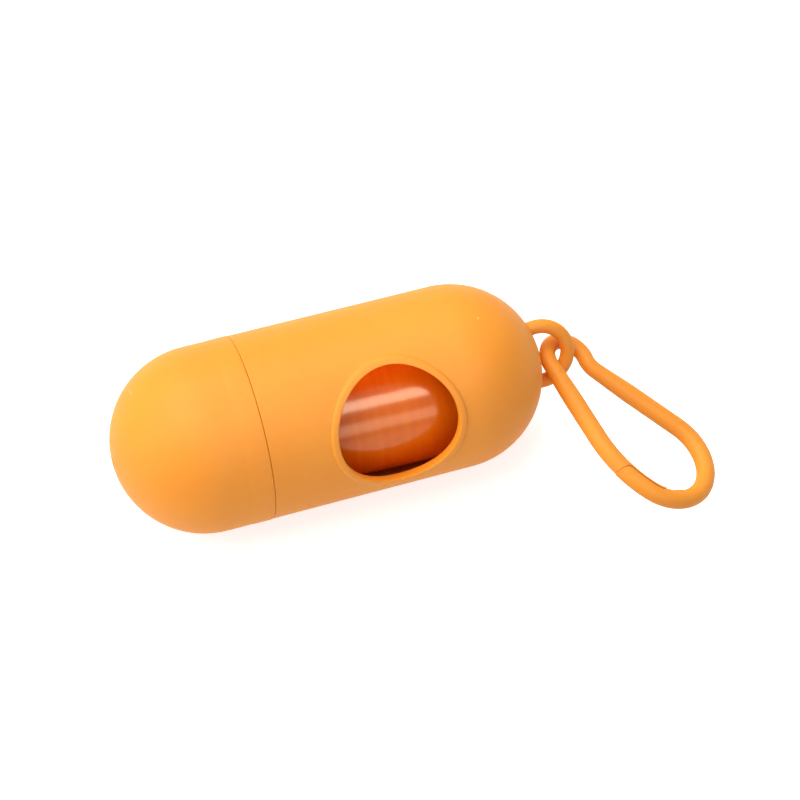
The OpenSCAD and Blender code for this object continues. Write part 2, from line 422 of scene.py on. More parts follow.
class Nodes:
    """The nodes of a finish or of the world, which lead to one shader."""

    def __init__(self, owner: Owner, shader: str, output: str) -> None:
        """Clears the nodes and adds the last two.

        Args:
            owner: the material or the world.
            shader: Blender's name of the shader's type.
            output: Blender's name of the output's type.
        """
        owner.use_nodes = True
        self.owner = owner
        self.tree = owner.node_tree
        self.tree.nodes.clear()
        self.shader = self.tree.nodes.new(shader)
        last = self.tree.nodes.new(output)
        self.tree.links.new(self.shader.outputs[0], last.inputs["Surface"])

    @classmethod
    def of_material(cls, name: str) -> "Nodes":
        """Returns the nodes of a new material."""
        material = bpy.data.materials.new(name)
        return cls(material, "ShaderNodeBsdfPrincipled", "ShaderNodeOutputMaterial")

    def add(
        self,
        kind: str,
        output: str | int,
        settings: dict | None = None,
        links: dict | None = None,
    ) -> Socket:
        """Adds a node.

        Args:
            kind: Blender's name of its type.
            output: name or number of the output that is wanted.
            settings: values of its own properties, or of its inputs by name or number.
            links: for each input's name or number, the output that feeds it.

        Returns:
            The output.
        """
        node = self.tree.nodes.new(kind)
        for key, value in (settings or {}).items():
            if isinstance(key, str) and hasattr(node, key):
                setattr(node, key, value)
            else:
                node.inputs[key].default_value = value
        for key, source in (links or {}).items():
            self.tree.links.new(source, node.inputs[key])
        return node.outputs[output]

    @property
    def place(self) -> Socket:
        """Returns the piece's own coordinates."""
        return self.add("ShaderNodeTexCoord", "Object")

    def seen_ray(self) -> Socket:
        """Returns 1 for camera, glossy and transmission rays, and 0 for light rays."""
        rays = self.tree.nodes.new("ShaderNodeLightPath").outputs
        seen = rays["Is Camera Ray"]
        for kind in ("Is Glossy Ray", "Is Transmission Ray"):
            links = {0: seen, 1: rays[kind]}
            seen = self.add("ShaderNodeMath", 0, {"operation": "MAXIMUM"}, links)
        return seen

    def mapped(self, scale: Triple, rotation: Triple = (0.0, 0.0, 0.0)) -> Socket:
        """Returns the piece's coordinates scaled and turned."""
        settings = {"Scale": scale, "Rotation": rotation}
        return self.add("ShaderNodeMapping", "Vector", settings, {"Vector": self.place})

    def noise(
        self, cell_mm: float, detail: float, place: Socket | None = None
    ) -> Socket:
        """Returns noise.

        Args:
            cell_mm: width of its cells.
            detail: number of finer layers.
            place: where it is read, if not at the piece's own coordinates.

        Returns:
            The value, from 0 to 1.
        """
        settings = {"Scale": per_metre(cell_mm), "Detail": detail}
        at = {"Vector": self.place if place is None else place}
        return self.add("ShaderNodeTexNoise", "Fac", settings, at)

    def ramp(self, share: Socket, *stops: tuple[float, str]) -> Socket:
        """Returns the colour that a share picks between two stops."""
        node = self.tree.nodes.new("ShaderNodeValToRGB")
        self.tree.links.new(share, node.inputs["Fac"])
        for element, (place, hex_value) in zip(node.color_ramp.elements, stops):
            element.position = place
            element.color = colour(hex_value)
        return node.outputs["Color"]

    def span(self, value: Socket, source: Pair, target: Pair) -> Socket:
        """Maps a value from one span to another and keeps it inside.

        Args:
            value: the value.
            source: both ends of its span.
            target: what the ends become.

        Returns:
            The new value.
        """
        keys = ("From Min", "From Max", "To Min", "To Max")
        settings = dict(zip(keys, (*source, *target)))
        return self.add("ShaderNodeMapRange", "Result", settings, {"Value": value})

    def over(self, below: Socket, hex_value: str, share: Socket) -> Socket:
        """Lays a share of a colour over the colour below it."""
        settings = {"data_type": "RGBA", 7: colour(hex_value)}
        return self.add("ShaderNodeMix", 2, settings, {0: share, 6: below})

    def bump(
        self,
        height: Socket,
        strength: float,
        depth_mm: float,
        below: Socket | None = None,
    ) -> Socket:
        """Bends the normal.

        Args:
            height: the relief, from 0 to 1.
            strength: share of the bend that is kept.
            depth_mm: depth of the relief.
            below: the normal of a coarser relief that carries this one.

        Returns:
            The bent normal.
        """
        settings = {"Strength": strength, "Distance": depth_mm * MM}
        links = {"Height": height}
        if below is not None:
            links["Normal"] = below
        return self.add("ShaderNodeBump", "Normal", settings, links)

    def finish(self, links: dict, settings: dict) -> Owner:
        """Feeds the shader.

        Args:
            links: the output that feeds each of its inputs.
            settings: values of its other inputs.

        Returns:
            The material or the world.
        """
        for key, source in links.items():
            self.tree.links.new(source, self.shader.inputs[key])
        for key, value in settings.items():
            self.shader.inputs[key].default_value = value
        return self.owner


@dataclass(frozen=True)
class MouldedPolypropylene:
    """Satin polypropylene, injection moulded in a spark-eroded mould.

    The eye gets an even, slightly chalky satin with no clear reflections, a faint
    cloudiness where the melt flowed, a very fine grain, and a few specks and rubs from
    being carried about.
    """

    name: str
    base: str
    flow: str
    speck: str = "#FFCF85"
    rub: str = "#FFC890"
    roughness: float = 0.6
    rub_roughness: float = 0.42
    ior: float = 1.49
    cloud_mm: float = 14.0
    cloud_span: Pair = (0.3, 0.75)
    grain_mm: float = 0.45
    grain_strength: float = 0.35
    grain_depth_mm: float = 0.012
    speck_cell_mm: float = 13.0
    speck_span: Pair = (0.016, 0.024)
    speck_cover: float = 0.6
    rub_cell_mm: float = 16.0
    rub_span: Pair = (0.76, 0.83)
    rub_cover: float = 0.35
    rub_squeeze: Triple = (9.0, 1.0, 1.0)
    rub_lean: Triple = (0.4, 0.7, 0.5)
    glow: float = 0.25
    glow_mm: float = 1.2
    glow_reach: Triple = (1.0, 0.45, 0.1)

    def make(self) -> Material:
        """Returns the material."""
        nodes = Nodes.of_material(self.name)
        clouds = nodes.noise(self.cloud_mm, 3.0)
        flow = nodes.ramp(clouds, *zip(self.cloud_span, (self.base, self.flow)))
        # Specks are the few cells whose middle lies close by
        middle = nodes.add(
            "ShaderNodeTexVoronoi",
            "Distance",
            {"Scale": per_metre(self.speck_cell_mm)},
            {"Vector": nodes.place},
        )
        speck = nodes.span(middle, self.speck_span, (self.speck_cover, 0.0))
        specked = nodes.over(flow, self.speck, speck)
        # Rubs are thin slanting streaks: noise squeezed across their length
        squeezed = nodes.mapped(self.rub_squeeze, self.rub_lean)
        streaks = nodes.noise(self.rub_cell_mm, 2.0, squeezed)
        rubs = nodes.span(streaks, self.rub_span, (0.0, self.rub_cover))
        sheen = nodes.span(rubs, (0.0, 1.0), (self.roughness, self.rub_roughness))
        grain = nodes.noise(self.grain_mm, 2.0)
        return nodes.finish(
            {
                "Base Color": nodes.over(specked, self.rub, rubs),
                "Roughness": sheen,
                "Normal": nodes.bump(grain, self.grain_strength, self.grain_depth_mm),
            },
            {
                "IOR": self.ior,
                "Subsurface Weight": self.glow,
                "Subsurface Radius": self.glow_reach,
                "Subsurface Scale": self.glow_mm * MM,
            },
        )


@dataclass(frozen=True)
class WoundFilm:
    """Thin polyethylene film, blown and wound tight round a core.

    Many glossy layers lie on each other, so the eye gets a strong clear reflection over
    a saturated colour, with faint ridges round the roll whose hollows get a painted
    shade.
    Light that falls on one place seeps through the layers and comes out again beside
    it.
    """

    name: str
    base: str
    # darker colour for the ridges' hollows: painted shade
    hollow_shade: str
    sheen: str
    roughness: float = 0.17
    ior: float = 1.51
    hollow_shade_span: Pair = (0.35, 0.6)
    round_scale: float = 0.12
    relief: float = 0.5
    ridge_mm: float = 1.6
    ridge_depth_mm: float = 0.003
    pucker_mm: float = 0.8
    pucker_depth_mm: float = 0.003
    glow: float = 0.4
    glow_mm: float = 3.0
    glow_reach: Triple = (1.0, 0.3, 0.05)

    def make(self) -> Material:
        """Returns the material."""
        nodes = Nodes.of_material(self.name)
        # Changes along the roll are quick and changes round it are slow
        stretched = nodes.mapped((1.0, self.round_scale, self.round_scale))
        ridges = nodes.noise(self.ridge_mm, 2.0, stretched)
        puckers = nodes.noise(self.pucker_mm, 3.0)
        coarse = nodes.bump(ridges, self.relief, self.ridge_depth_mm)
        fine = nodes.bump(puckers, self.relief, self.pucker_depth_mm, coarse)
        # The ridges' low parts take the darker colour: painted shade in their hollows
        shade = nodes.ramp(ridges, *zip(self.hollow_shade_span, (self.hollow_shade, self.base)))
        return nodes.finish(
            {"Base Color": shade, "Normal": fine},
            {
                "Roughness": self.roughness,
                "IOR": self.ior,
                "Specular Tint": colour(self.sheen),
                "Subsurface Weight": self.glow,
                "Subsurface Radius": self.glow_reach,
                "Subsurface Scale": self.glow_mm * MM,
            },
        )


@dataclass(frozen=True)
class RolledCard:
    """Plain grey-brown card, rolled and glued into a tube.

    The eye gets a dull brown with short fibres and the strip's slanting seam.
    """

    name: str
    base: str
    fibre: str
    seam: str
    roughness: float = 0.9
    ior: float = 1.45
    fibre_mm: float = 0.5
    fibre_span: Pair = (0.3, 0.7)
    fibre_squeeze: Triple = (0.25, 1.0, 1.0)
    fibre_lean: Triple = (0.0, 0.6, 0.0)
    fibre_strength: float = 0.6
    fibre_depth_mm: float = 0.03
    strip_mm: float = 54.0
    seam_share: float = 0.04
    seam_cover: float = 0.7

    def make(self) -> Material:
        """Returns the material."""
        nodes = Nodes.of_material(self.name)
        fibres = nodes.noise(
            self.fibre_mm, 4.0, nodes.mapped(self.fibre_squeeze, self.fibre_lean)
        )
        paper = nodes.ramp(fibres, *zip(self.fibre_span, (self.fibre, self.base)))
        strips = nodes.add(
            "ShaderNodeTexWave",
            "Fac",
            {
                "wave_type": "BANDS",
                "bands_direction": "DIAGONAL",
                "Scale": per_metre(self.strip_mm),
                "Distortion": 0.3,
            },
            {"Vector": nodes.place},
        )
        seam = nodes.span(strips, (0.0, self.seam_share), (self.seam_cover, 0.0))
        relief = nodes.bump(fibres, self.fibre_strength, self.fibre_depth_mm)
        return nodes.finish(
            {"Base Color": nodes.over(paper, self.seam, seam), "Normal": relief},
            {"Roughness": self.roughness, "IOR": self.ior},
        )


SHELL_FINISH = MouldedPolypropylene(
    name="moulded_polypropylene_shell", base="#F49518", flow="#F59A20"
)
CLIP_FINISH = MouldedPolypropylene(
    name="moulded_polypropylene_clip", base="#F4941A", flow="#F5991F"
)
FILM_FINISH = WoundFilm(
    name="wound_polyethylene_film", base="#EC7208", hollow_shade="#E86C06", sheen="#FFEECB"
)
CARD_FINISH = RolledCard(
    name="rolled_card", base="#B79467", fibre="#A17F55", seam="#7C5F3D"
)


def dress(
    obj: Piece,
    material: Material,
    body: Body | None,
    stands_for: tuple[str, ...] = (),
) -> None:
    """Gives a piece its material and its place in the frame.

    Args:
        obj: the piece.
        material: its finish.
        body: the CAD body that it rides on, or nothing to leave it unattached.
        stands_for: CAD nodes that it replaces.
    """
    obj.data.materials.clear()
    obj.data.materials.append(material)
    if body:
        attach(obj, body.value)
    if stands_for:
        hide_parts(*stands_for)
    log.info("%s: %d faces", obj.name, len(obj.data.polygons))


# ---- Capsule


@dataclass
class Capsule:
    """Sizes that the shells of the capsule share."""

    axis_z: float = 19.0
    cap_r: float = 19.0
    cap_pole_x: float = -44.7
    cap_dome_x: float = -25.7
    cap_dome_bore_r: float = 17.0
    seam_x: float = -16.3
    seam_gap: float = 0.08
    body_r: float = 18.9
    dome_r: float = 18.7
    dome_x: float = 26.0
    cavity_r: float = 17.2
    cavity_end_r: float = 17.0
    cavity_x: float = -14.3
    neck_r: float = 16.6
    neck_bore_r: float = 15.2
    neck_end_x: float = -25.3
    bore_r: float = 17.3
    bore_end_x: float = -26.1
    window_x: float = 10.3
    window_r: float = 12.5
    window_rise: float = 30.0
    round_steps: int = 256

    def at(self, x: float, r: float) -> Vector:
        """Returns the place at x along the axis and r above it."""
        return point(x, 0, self.axis_z + r)

    @property
    def axis(self) -> Vector:
        """Returns a place on the axis."""
        return self.at(0, 0)

    def above_window(self, r: float) -> Vector:
        """Returns the place on the window's axis at a distance from the capsule's."""
        return self.axis + point(self.window_x, 0, 0) + self.window_way * r * MM

    @property
    def window_way(self) -> Vector:
        """Returns the direction from the axis out through the window."""
        rise = radians(self.window_rise)
        return Vector((0, -cos(rise), sin(rise)))

    def shell(self, name: str, start: Pair, moves: list[tuple]) -> Piece:
        """Draws a profile above the axis and spins it into a shell.

        Args:
            name: the piece's name.
            start: x and radius of the first point.
            moves: x, radius and number of edges of each line's end, or of an arc's
                middle with its sweep in degrees.

        Returns:
            The shell.
        """
        pen = Pen(name, self.at(*start), -Y_AXIS)
        for x, r, steps, *sweep in moves:
            if sweep:
                pen.arc(self.at(x, r), *sweep, steps)
            else:
                pen.line(self.at(x, r), steps)
        return spin_outline(pen.finish(), self.axis, X_AXIS, self.round_steps)


@dataclass
class HousingShell:
    """The housing with its neck: one spun shell with the window cut through it."""

    shape: Capsule
    rim_round: float = 0.12
    neck_fillet: float = 0.3
    neck_edge: float = 0.5
    bore_edge: float = 0.3
    hidden_hole_r: float = 13.3
    cutter_len: float = 40.0
    skin_steps: int = 72
    dome_steps: int = 48
    rim_steps: int = 5
    edge_steps: int = 4

    def build(self) -> Piece:
        """Models the shell and returns it."""
        s = self.shape
        shoulder = s.seam_x + self.rim_round
        fillet_r = s.neck_r + self.neck_fillet
        neck_x = s.neck_end_x + self.neck_edge
        bore_r = s.neck_bore_r + self.bore_edge
        moves = [
            (s.dome_x, 0, self.dome_steps, 90),
            (shoulder, s.body_r, self.skin_steps),
            (shoulder, s.body_r - self.rim_round, self.rim_steps, 90),
            (s.seam_x, fillet_r, 2),
            (s.seam_x - self.neck_fillet, fillet_r, self.edge_steps, -90),
            (neck_x, s.neck_r, self.edge_steps),
            (neck_x, s.neck_r - self.neck_edge, self.rim_steps, 90),
            (s.neck_end_x, bore_r, 1),
            (s.neck_end_x + self.bore_edge, bore_r, self.edge_steps, 90),
            (s.seam_x, s.neck_bore_r, self.edge_steps),
            (s.cavity_x, s.cavity_r, 2),
            (s.dome_x, s.cavity_end_r, self.skin_steps),
            (s.dome_x, 0, self.dome_steps // 2, -90),
        ]
        shell = s.shell("housing_shell", (s.dome_x + s.dome_r, 0), moves)
        cutter = primitive(
            "hole_cutter",
            "cylinder",
            vertices=s.round_steps,
            radius=self.hidden_hole_r * MM,
            depth=self.cutter_len * MM,
            location=s.above_window(self.cutter_len / 2),
            rotation=facing(s.window_way),
        )
        cut_away(shell, cutter)
        settle(shell, 30)
        return shell


@dataclass
class WindowLip:
    """The raised lip: rings of a flat washer, each dropped onto a guide of its height.

    Both edges are given as steps out from the hole or from the lip's outer edge, and as
    heights against the lip's top.
    """

    shape: Capsule
    wall: float = 1.7
    lip_h: float = 0.45
    lip_w: float = 1.4
    hole_edge: float = 0.08
    under_gap: float = 0.04
    inner_edge: Pairs = (
        (0.0, -0.3), (0.03, -0.16), (0.1, -0.06), (0.22, -0.01), (0.4, 0.0),
    )
    outer_edge: Pairs = (
        (-0.45, 0.0), (-0.28, -0.03), (-0.15, -0.1), (-0.07, -0.2), (-0.03, -0.3),
        (0.02, -0.37), (0.1, -0.43), (0.22, -0.47), (0.25, -0.85),
    )
    start_h: float = 30.0
    ring_step: float = 0.1
    guide_sides: int = 1440

    def section(self) -> list[Pair]:
        """Returns the rings as distance from the hole's axis and height on the skin."""
        r, h = self.shape.window_r, self.lip_h
        edge = r + self.lip_w
        under = -self.wall - self.under_gap
        return [
            (edge + self.outer_edge[-1][0], under),
            (r + self.hole_edge, under),
            (r, under + self.hole_edge),
            (r, -self.wall / 2),
            *((r + out, h + rise) for out, rise in self.inner_edge),
            *((edge + out, h + rise) for out, rise in self.outer_edge),
        ]

    def build(self) -> Piece:
        """Models the lip and returns it."""
        s = self.shape
        rings = self.section()
        above = s.above_window(self.start_h)
        lip = primitive(
            "window_lip",
            "circle",
            vertices=s.round_steps,
            radius=rings[0][0] * MM,
            location=above,
            rotation=facing(s.window_way),
        )
        edit_all()
        step = s.window_way * self.ring_step * MM
        for before, ring in zip(rings, rings[1:]):
            factor = ring[0] / before[0]
            bpy.ops.mesh.extrude_region_move(TRANSFORM_OT_translate={"value": step})
            bpy.ops.transform.resize(value=(factor,) * 3, center_override=above)
        leave_edit()
        count = s.round_steps
        for i, (_, height) in enumerate(rings):
            group = lip.vertex_groups.new(name=f"ring_{i}")
            group.add(range(i * count, (i + 1) * count), 1.0, "REPLACE")
            self.drop(lip, group.name, height)
        lip.vertex_groups.clear()
        # The last ring is joined to the first inside the wall
        select_rims(lip)
        bpy.ops.mesh.bridge_edge_loops()
        bpy.ops.mesh.select_mode(type="VERT")
        weld(lip)
        settle(lip, 50)
        return lip

    def drop(self, lip: Piece, group: str, height: float) -> None:
        """Drops one ring along the window's axis onto the skin or a height above it.

        Args:
            lip: the lip.
            group: the ring's vertex group.
            height: height above the skin, in millimetres.
        """
        s = self.shape
        guide = primitive(
            "guide",
            "cone",
            vertices=self.guide_sides,
            radius1=(s.body_r + height) * MM,
            radius2=(s.dome_r + height) * MM,
            depth=(s.dome_x - s.seam_x) * MM,
            location=s.at((s.dome_x + s.seam_x) / 2, 0),
            rotation=(0, radians(90), 0),
        )
        settings = {
            "target": guide,
            "vertex_group": group,
            "wrap_method": "PROJECT",
            "use_project_z": True,
            "use_positive_direction": False,
            "use_negative_direction": True,
        }
        modify(lip, "SHRINKWRAP", settings, guide)


@dataclass
class EyeLoop:
    """The half ring of round wire on the housing's end, with a fillet at each foot."""

    shape: Capsule
    centre_x: float = 45.0
    ring_r: float = 6.0
    wire_r: float = 1.45
    foot_angle: float = 105.2
    fillet: float = 0.6
    fillet_steps: int = 7
    ring_steps: int = 72
    sides: int = 40
    parting: float = 0.03

    def build(self) -> Piece:
        """Models the eye and returns it."""
        s = self.shape
        down = turned(s.window_way, X_AXIS, 90)
        normal = X_AXIS.cross(down)
        centre = s.at(self.centre_x, 0)
        rise = radians(self.foot_angle)
        foot = X_AXIS * cos(rise) - down * sin(rise)
        start = centre + foot * self.ring_r * MM
        way = normal.cross(foot)
        wire = Wire("eye_loop", start, way, self.wire_r * MM, self.sides)
        wire.ridge(foot, self.parting * MM)
        turn = degrees(self.fillet / self.ring_r)
        step = turn / self.fillet_steps
        shares = [i / self.fillet_steps for i in range(self.fillet_steps + 1)]
        radii = [self.flare(share) for share in shares]
        wire.swell(radii[0] * MM)
        for radius in radii[1:]:
            wire.bend(centre, normal, step, 1)
            wire.swell(radius * MM)
        wire.bend(centre, normal, 2 * (self.foot_angle - turn), self.ring_steps)
        for radius in reversed(radii[:-1]):
            wire.bend(centre, normal, step, 1)
            wire.swell(radius * MM)
        eye = wire.finish()
        settle(eye)
        return eye

    def flare(self, share: float) -> float:
        """Returns the wire's radius at a share of the way up the fillet."""
        rest = self.fillet * (1 - share)
        hollow = sqrt(self.fillet**2 - rest**2)
        return self.wire_r + self.fillet - hollow


@dataclass
class CapShell:
    """The screw cap: one spun shell with a rounded rim, a sink ring and a gate mark."""

    shape: Capsule
    rim_round: float = 0.2
    mouth_edge: float = 0.2
    waist_r: float = 18.96
    sink_from_seam: float = 4.8
    sink_w: float = 2.6
    sink_depth: float = 0.045
    mark_r: float = 1.15
    dome_steps: int = 52
    sink_steps: int = 8
    draft: float = 0.01
    gate_mark: Pairs = (
        (0.06, 0.45), (0.2, 0.55), (0.22, 0.97),
    )

    def build(self) -> Piece:
        """Models the cap and returns it."""
        s = self.shape
        rim_x = s.seam_x - s.seam_gap
        pole = s.cap_pole_x
        mark_x = s.cap_dome_x - sqrt(self.waist_r**2 - self.mark_r**2)
        mark_a = degrees(asin(self.mark_r / self.waist_r))
        sink_x = rim_x - self.sink_from_seam - self.sink_w / 2
        moves = [(pole + depth, r, 1) for depth, r in self.gate_mark]
        moves += [
            (mark_x, self.mark_r, 1),
            (s.cap_dome_x, 0, self.dome_steps, mark_a - 90),
            (sink_x, self.waist_r, 3),
        ]
        for i in range(1, self.sink_steps + 1):
            share = i / self.sink_steps
            dip = self.sink_depth * sin(pi * share) ** 2
            rise = (s.cap_r - self.draft - self.waist_r) * share
            moves.append((sink_x + self.sink_w * share, self.waist_r + rise - dip, 1))
        step_r = sqrt(s.cap_dome_bore_r**2 - (s.bore_end_x - s.cap_dome_x) ** 2)
        step_a = degrees(asin(step_r / s.cap_dome_bore_r))
        moves += [
            (rim_x - self.rim_round, s.cap_r, 4),
            (rim_x - self.rim_round, s.cap_r - self.rim_round, 6, -90),
            (rim_x, s.bore_r + self.mouth_edge, 2),
            (rim_x - self.mouth_edge, s.bore_r, 1),
            (s.bore_end_x, s.bore_r, 4),
            (s.bore_end_x, step_r, 1),
            (s.cap_dome_x, 0, self.dome_steps // 2, step_a),
        ]
        cap = s.shell("cap_shell", (pole + self.gate_mark[0][0], 0), moves)
        settle(cap, 30)
        return cap


@dataclass
class ScrewThread:
    """One coarse ridge that winds round the neck or inside the cap."""

    shape: Capsule
    name: str
    root_r: float
    crest_r: float
    start_turn: float
    turns: float
    origin_x: float
    pitch: float = 4.5
    root_half_w: float = 0.9
    crest_half_w: float = 0.4
    steps_per_turn: int = 64

    def build(self) -> Piece:
        """Models the ridge and returns it."""
        s = self.shape
        x = self.origin_x + self.pitch * self.start_turn
        corners = [
            point(x - self.root_half_w, 0, self.root_r),
            point(x - self.crest_half_w, 0, self.crest_r),
            point(x + self.crest_half_w, 0, self.crest_r),
            point(x + self.root_half_w, 0, self.root_r),
        ]
        pen = Pen(self.name, corners[0], -Y_AXIS)
        for corner in (*corners[1:], corners[0]):
            pen.line(corner)
        ridge = pen.finish()
        take(ridge)
        apply_place()
        edit_all()
        bpy.ops.mesh.remove_doubles(threshold=WELD)
        leave_edit()
        steps = round(self.steps_per_turn * self.turns)
        settings = {
            "axis": "X",
            "angle": radians(FULL_TURN * self.turns),
            "screw_offset": self.pitch * self.turns * MM,
            "steps": steps,
            "render_steps": steps,
        }
        modify(ridge, "SCREW", settings)
        self.sink_ends(ridge)
        weld(ridge)
        ridge.rotation_euler = (radians(FULL_TURN * self.start_turn), 0, 0)
        ridge.location = s.axis
        settle(ridge, 30)
        return ridge

    def sink_ends(self, ridge: Piece) -> None:
        """Scales both ends of the ridge into the wall that carries it."""
        select_rims(ridge)
        factor = self.root_r / self.crest_r
        bpy.ops.transform.resize(value=(1, factor, factor), center_override=(0, 0, 0))
        bpy.ops.mesh.select_mode(type="VERT")
        leave_edit()


# ---- Hook clip


@dataclass
class ClipPlane:
    """The clip's plane, with the small eye at (0, 0), and how it hangs."""

    hang: Triple = (50.1158, -1.5675, 16.285)
    lean: float = -17.0
    pitch: float = 22.4594
    turn: float = -51.5
    shift: Pair = (0.244556, 0.761704)
    thin_r: float = 1.65
    thick_r: float = 1.9
    taper: float = 8.0
    wide_end_r: float = 10.1
    bow_r: float = 24.0
    spine_slope: float = 8.0
    gate_slope: float = 25.5
    root_len: float = 2.6
    wide: Pair = (27.4, -4.1)
    bow: Pair = (24.799, 9.55449)
    fillet: Pair = (5.27918, 7.5346)
    gate_start: Pair = (-2.0234, -4.24215)
    bow_start: Pair = (14.4668, -12.1076)
    spine_start: Pair = (5.90546, 3.0784)
    spine_end: Pair = (25.9944, 5.90171)
    pivot: Pair = (1.06864, -3.79888)
    bow_end_a: float = -79.2153
    nose_from_pivot: float = 24.0157
    tongue_from_pivot: float = 31.4157
    split: float = 0.45
    gap: float = 0.16
    gate_rest: float = 0.5
    nose_round: float = 1.5
    slab_out: float = 5.0
    slab_in: float = 2.6
    # Each slab's free corners stand clear of the wire: those of the gate's slab are
    # shifts from its ends, those of the nose's are angles and radii about the bow
    gate_corners: Pairs = ((8.0, 0.0), (8.0, -12.0))
    gate_foot: Pair = (0.0, -6.0)
    nose_corners: Pairs = (
        (-92.0, -4.0), (-108.0, -4.0), (-108.0, 6.0),
    )
    sides: int = 48
    parting: float = 0.035

    def matrix(self) -> Matrix:
        """Returns the turn and shift that lay the plane through the housing's eye."""
        placed = Matrix.Translation(point(*self.hang))
        placed @= Matrix.Rotation(radians(self.turn), 4, "Z")
        placed @= Matrix.Rotation(radians(self.pitch), 4, "Y")
        placed @= Matrix.Rotation(radians(self.lean), 4, "X")
        return placed @ Matrix.Translation(point(*self.shift, 0))

    @staticmethod
    def at(place: Pair) -> Vector:
        """Returns a place in the plane, in metres."""
        return point(place[0], place[1], 0)

    @staticmethod
    def way(angle: float) -> Vector:
        """Returns the unit vector at an angle in the plane."""
        return Vector((cos(radians(angle)), sin(radians(angle)), 0))

    @property
    def gate_len(self) -> float:
        """Returns the length of the gate's straight stretch with its root."""
        return (self.at(self.bow_start) - self.at(self.gate_start)).length / MM

    @property
    def root_r(self) -> float:
        """Returns the wire's radius where the flexing part begins."""
        return self.thin_r + (self.thick_r - self.thin_r) * self.root_len / self.taper

    def hang_up(self, obj: Piece, rest: float = 0.0) -> None:
        """Moves a piece that was modelled in the plane to where the clip hangs.

        Args:
            obj: the piece.
            rest: how far it first turns about the gate's pivot, in degrees.
        """
        settle(obj, 40)
        take(obj)
        pivot = Matrix.Translation(self.at(self.pivot))
        turn = Matrix.Rotation(radians(rest), 4, "Z")
        obj.matrix_world = self.matrix() @ pivot @ turn @ pivot.inverted()
        apply_place()

    def meet(self, c0: Vector, r0: float, c1: Vector, r1: float) -> Vector:
        """Finds where two circles of the plane cross, on the wire's side of both.

        Args:
            c0: middle of the first circle.
            r0: its radius, in millimetres.
            c1: middle of the second circle.
            r1: its radius.

        Returns:
            The crossing that lies further down in the plane.
        """
        apart = c1 - c0
        d = apart.length
        along = (d * d + (r0 * MM) ** 2 - (r1 * MM) ** 2) / (2 * d)
        across = sqrt((r0 * MM) ** 2 - along**2)
        base = c0 + apart.normalized() * along
        side = turned(apart.normalized(), Z_AXIS, 90) * across
        return min(base + side, base - side, key=lambda p: p.y)

    def lap_slab(self, name: str, half_gap: float, keep_gate: bool) -> Piece:
        """Draws the slab whose cut makes the lap.

        Args:
            name: name of the slab's object.
            half_gap: how far the slab's outline lies on the nose's side of the split.
            keep_gate: true for the slab that is cut from the gate.

        Returns:
            The slab.
        """
        end_gap = half_gap + self.gap / 2
        split = self.split - half_gap
        nose = self.nose_from_pivot + end_gap
        tongue = self.tongue_from_pivot + end_gap
        bow_r = self.bow_r - split
        corner_r = self.nose_round + (self.gap if keep_gate else 0)
        pivot, bow, wide = self.at(self.pivot), self.at(self.bow), self.at(self.wide)
        # The nose's inner corner is a fillet between the pivot's circle and the split
        fillet = self.meet(pivot, nose + corner_r, bow, bow_r + corner_r)
        outer = self.meet(pivot, nose, bow, self.bow_r + self.slab_out)
        inner = self.meet(pivot, tongue, wide, self.wide_end_r - self.slab_in)
        pen = Pen(name, outer, Z_AXIS)
        start = outer
        for centre, end, steps in (
            (pivot, pivot + (fillet - pivot).normalized() * nose * MM, 24),
            (fillet, bow + (fillet - bow).normalized() * bow_r * MM, 10),
            (bow, bow + self.way(self.bow_end_a) * bow_r * MM, 32),
            (wide, self.meet(pivot, tongue, wide, self.wide_end_r - split), 16),
            (pivot, inner, 6),
        ):
            pen.arc(centre, self.sweep(centre, start, end), steps)
            start = end
        if keep_gate:
            corners = [inner + self.at(shift) for shift in self.gate_corners]
            corners.append(outer + self.at(self.gate_foot))
        else:
            corners = [
                bow + self.way(angle) * (self.bow_r + out) * MM
                for angle, out in self.nose_corners
            ]
        for corner in (*corners, outer):
            pen.line(corner)
        return pull_outline(pen.finish(), 2 * self.thick_r * MM, Z_AXIS)

    @staticmethod
    def sweep(centre: Vector, start: Vector, end: Vector) -> float:
        """Returns the short way round a point from start to end.

        Args:
            centre: the point.
            start: where the arc starts.
            end: where it ends.

        Returns:
            The angle in degrees, counterclockwise.
        """
        a, b = start - centre, end - centre
        turn = degrees(atan2(b.y, b.x) - atan2(a.y, a.x))
        return (turn + 180) % FULL_TURN - 180


@dataclass
class ClipWire:
    """The clip's frame: small eye, spine, wide end and the nose of the lap."""

    plane: ClipPlane
    nose_overrun: float = 26.0
    # Rings of the root, small eye, hollow, taper, spine, wide end and nose
    steps: Counts = (6, 56, 16, 12, 16, 110, 30)

    def build(self) -> Piece:
        """Models the frame as one bent wire and returns it."""
        p = self.plane
        back = p.way(180 - p.gate_slope)
        root = p.at(p.gate_start) - back * p.root_len * MM
        wire = Wire("clip_wire", root, back, p.root_r * MM, p.sides)
        wire.ridge(p.way(90 - p.gate_slope), p.parting * MM)
        wire.straight(p.root_len * MM, p.thin_r * MM, self.steps[0])
        start_a = -90 - p.gate_slope
        fillet_a = degrees(atan2(p.fillet[1], p.fillet[0])) - FULL_TURN
        wire.bend(point(0, 0, 0), Z_AXIS, fillet_a - start_a, self.steps[1])
        hollow = (p.spine_slope - 90) - (fillet_a + 180)
        wire.bend(p.at(p.fillet), Z_AXIS, hollow, self.steps[2])
        spine = (p.at(p.spine_end) - p.at(p.spine_start)).length
        wire.straight(p.taper * MM, p.thick_r * MM, self.steps[3])
        wire.straight(spine - p.taper * MM, p.thick_r * MM, self.steps[4])
        wide = p.bow_end_a - (90 + p.spine_slope)
        wire.bend(p.at(p.wide), Z_AXIS, wide, self.steps[5])
        wire.bend(p.at(p.bow), Z_AXIS, -self.nose_overrun, self.steps[6])
        clip = wire.finish()
        cut_away(clip, p.lap_slab("nose_cutter", p.gap / 2, False))
        p.hang_up(clip)
        return clip


